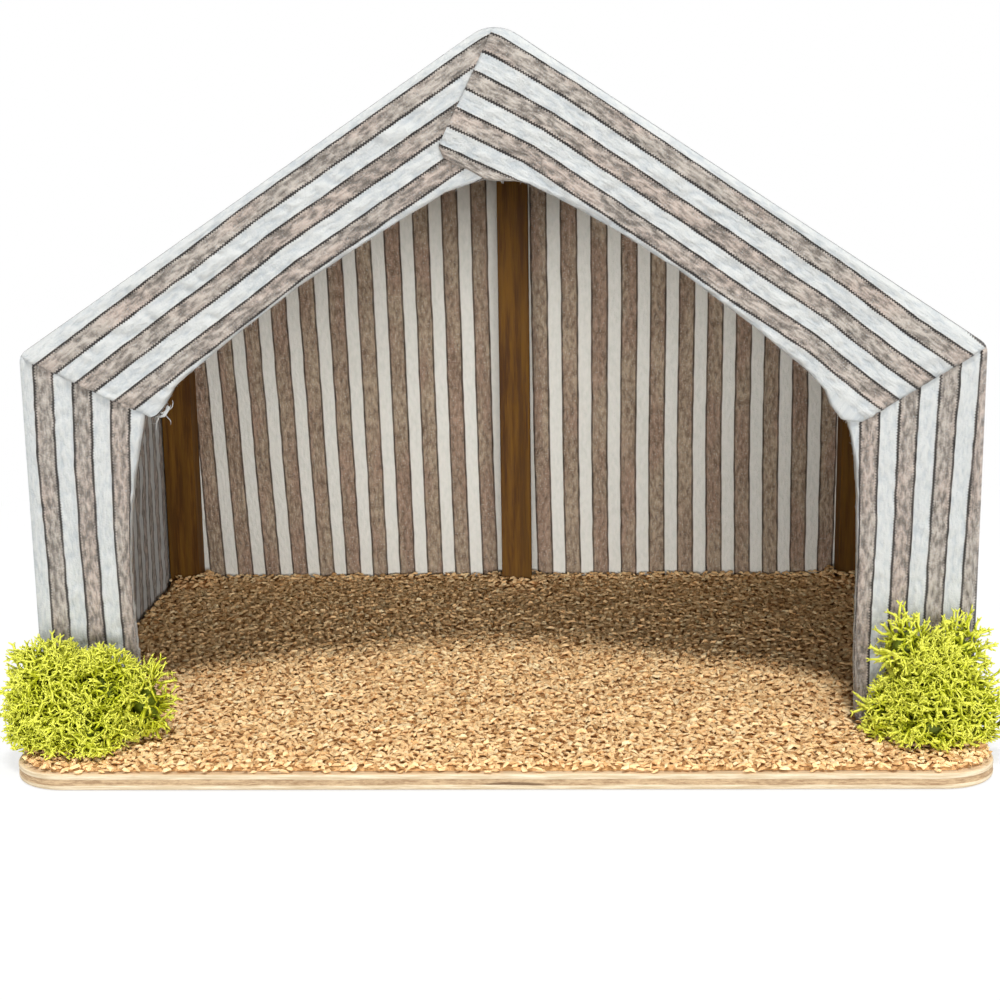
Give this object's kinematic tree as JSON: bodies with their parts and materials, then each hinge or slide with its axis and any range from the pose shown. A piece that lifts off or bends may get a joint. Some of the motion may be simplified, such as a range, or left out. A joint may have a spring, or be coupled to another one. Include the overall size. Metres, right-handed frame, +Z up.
{
  "type": "nativity tent",
  "caption": "Open-fronted gable tent of striped cloth over a stained timber frame, on a plywood board with wood litter and moss clumps.",
  "frame": {"origin": "middle of the plywood board's underside", "axes": "+Z up, +Y from the open front to the back, +X to the right as seen from the front, along the board's long side"},
  "size_m": [0.3128, 0.25, 0.2233],
  "materials": {
    "birch_plywood": "sanded, bare edge with three plies",
    "stained_timber": "dark brown stain, satin",
    "striped_cloth": "woven cotton, off-white and taupe stripes with fine black edge lines",
    "wood_litter": "loose tan chips, glued down",
    "lime_moss": "dyed branching moss, matt"
  },
  "bodies": {
    "root": {"base_board": "birch_plywood", "front_left_post": "stained_timber", "rear_left_post": "stained_timber", "front_right_post": "stained_timber", "rear_right_post": "stained_timber", "rear_centre_post": "stained_timber", "front_left_rafter": "stained_timber", "rear_left_rafter": "stained_timber", "front_right_rafter": "stained_timber", "rear_right_rafter": "stained_timber", "ridge_beam": "stained_timber", "left_eave_beam": "stained_timber", "right_eave_beam": "stained_timber", "tent_cover": "striped_cloth", "rear_panel": "striped_cloth", "ground_litter": "wood_litter", "rear_litter": "wood_litter", "left_moss": "lime_moss", "right_moss": "lime_moss"}
  },
  "joints": []
}
